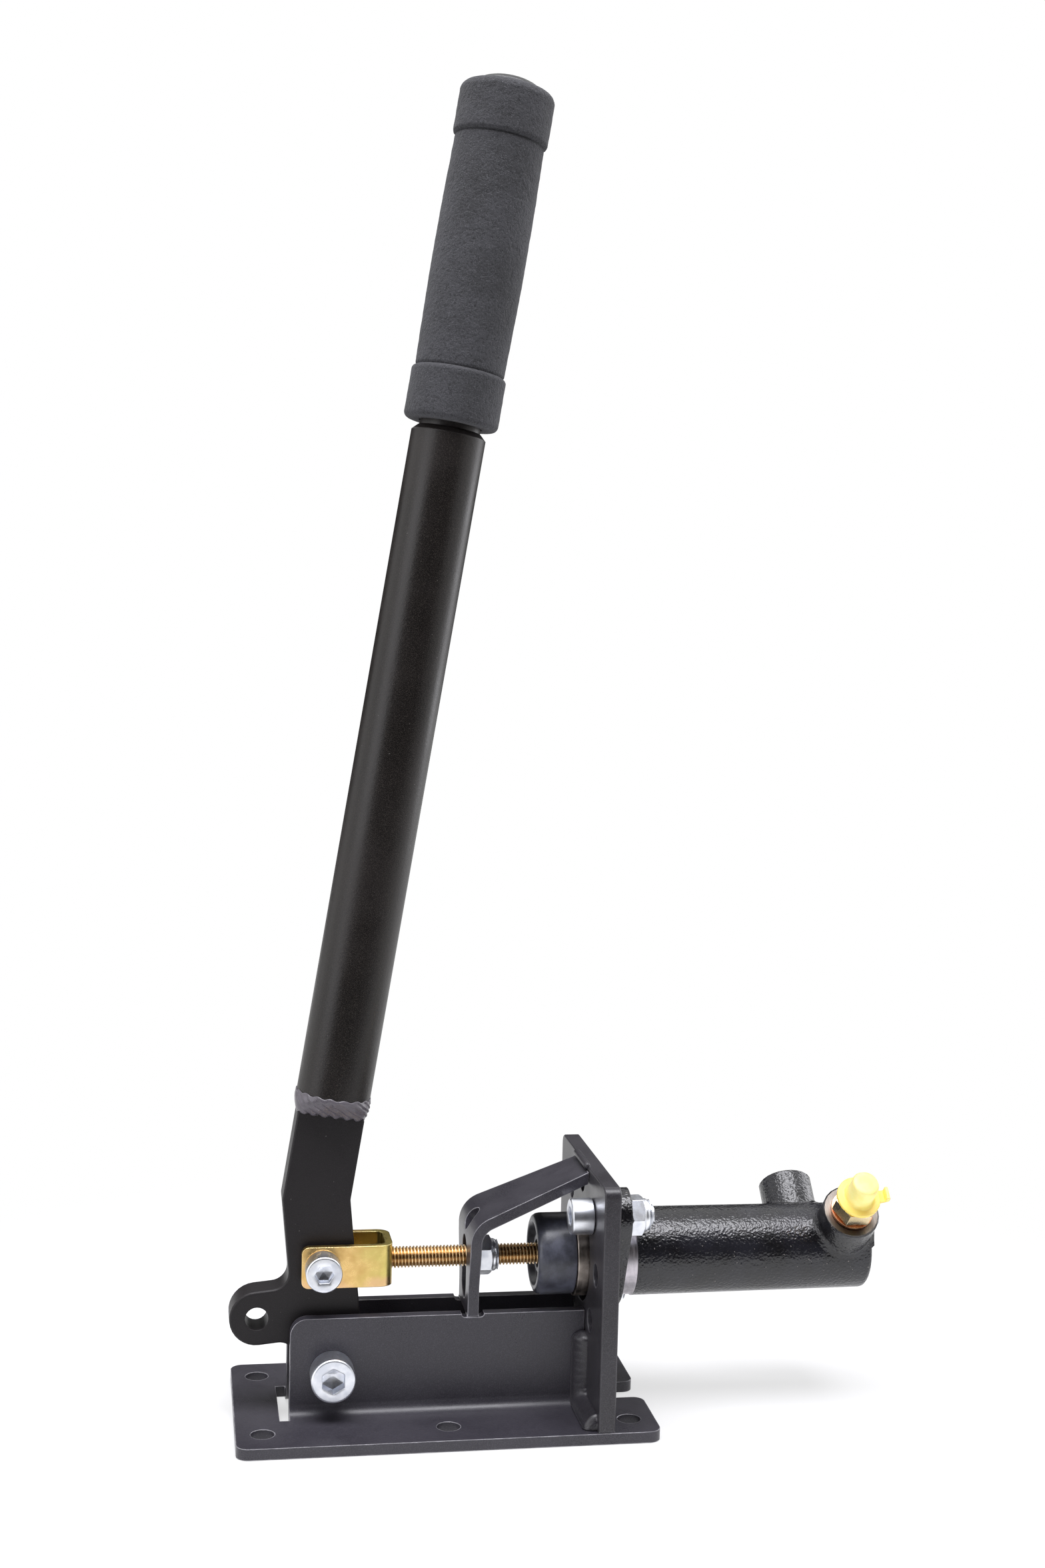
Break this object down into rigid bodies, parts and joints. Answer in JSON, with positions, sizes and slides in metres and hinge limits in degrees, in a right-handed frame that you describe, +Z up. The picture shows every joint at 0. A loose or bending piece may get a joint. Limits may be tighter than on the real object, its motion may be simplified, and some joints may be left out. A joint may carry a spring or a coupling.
{
  "type": "parking brake lever",
  "caption": "Upright hydraulic parking brake lever: foam-gripped tube on a folded steel base, pushing a flange-mounted master cylinder through a clevis and threaded rod.",
  "frame": {"origin": "on the underside of the base, at the middle of its rear web", "axes": "+X from the lever towards the cylinder, +Y to the far side, +Z up from the mounting surface"},
  "size_m": [0.2375, 0.08, 0.4797],
  "materials": {
    "black_powder_coat": "satin black powder coat",
    "black_lever_coat": "satin black coat on the lever",
    "grip_foam": "closed-cell foam, matt",
    "black_moulding": "moulded, low sheen",
    "bright_zinc": "bright zinc plate",
    "yellow_zinc": "yellow passivated zinc plate",
    "bronze_bush": "plain bronze",
    "cast_black": "as cast, black coated, glossy",
    "black_rubber": "moulded rubber",
    "turned_aluminium": "turned and anodised",
    "spring_steel": "phosphated spring steel",
    "soft_copper": "bare copper",
    "yellow_plastic": "soft moulded cap"
  },
  "bodies": {
    "frame": {"base_frame": "black_powder_coat", "front_plate": "black_powder_coat", "guide_brace": "black_powder_coat", "pivot_bolt": "bright_zinc", "pivot_nut": "bright_zinc", "pivot_spacer_near": "bright_zinc", "pivot_spacer_far": "bright_zinc", "cylinder_body": "cast_black", "return_spring": "spring_steel", "stop_washer": "bright_zinc", "retaining_circlip": "spring_steel", "dust_boot": "black_rubber", "outlet_fitting": "bright_zinc", "copper_washer": "soft_copper", "port_cap": "yellow_plastic", "flange_bolt_near": "bright_zinc", "flange_bolt_far": "bright_zinc", "flange_nut_near": "bright_zinc", "flange_nut_far": "bright_zinc"},
    "lever": {"lever_plate": "black_lever_coat", "lever_weld": "black_lever_coat", "lever_tube": "black_lever_coat", "grip_tube": "black_lever_coat", "foam_grip": "grip_foam", "grip_end_plug": "black_moulding", "pivot_bush": "bronze_bush", "clevis_bush": "bronze_bush"},
    "rod": {"clevis": "yellow_zinc", "clevis_bolt": "bright_zinc", "clevis_nut": "bright_zinc", "pushrod": "yellow_zinc", "rod_stop_nut": "bright_zinc"},
    "piston": {"piston": "turned_aluminium", "primary_seal": "black_rubber", "secondary_seal": "black_rubber"}
  },
  "joints": [
    {"name": "lever_pivot", "type": "hinge", "parent": "frame", "child": "lever", "pos_m": [0.0265, 0, 0.0195], "axis": [0, 1, 0], "range_deg": [0, 14], "stiffness_Nm_per_rad": 12, "springref_deg": -6.88},
    {"name": "clevis_pivot", "type": "hinge", "parent": "lever", "child": "rod", "pos_m": [0.02281, 0, 0.05712], "axis": [0, 1, 0], "range_deg": [-14.05, 0]},
    {"name": "piston_slide", "type": "slide", "parent": "frame", "child": "piston", "axis": [1, 0, 0], "range_m": [0, 0.0092], "deforming": ["return_spring"]}
  ],
  "couplings": [
    {"joint": "clevis_pivot", "follows": "lever_pivot", "ratio": -1},
    {"joint": "piston_slide", "follows": "lever_pivot", "m_per_rad": 0.0376}
  ]
}
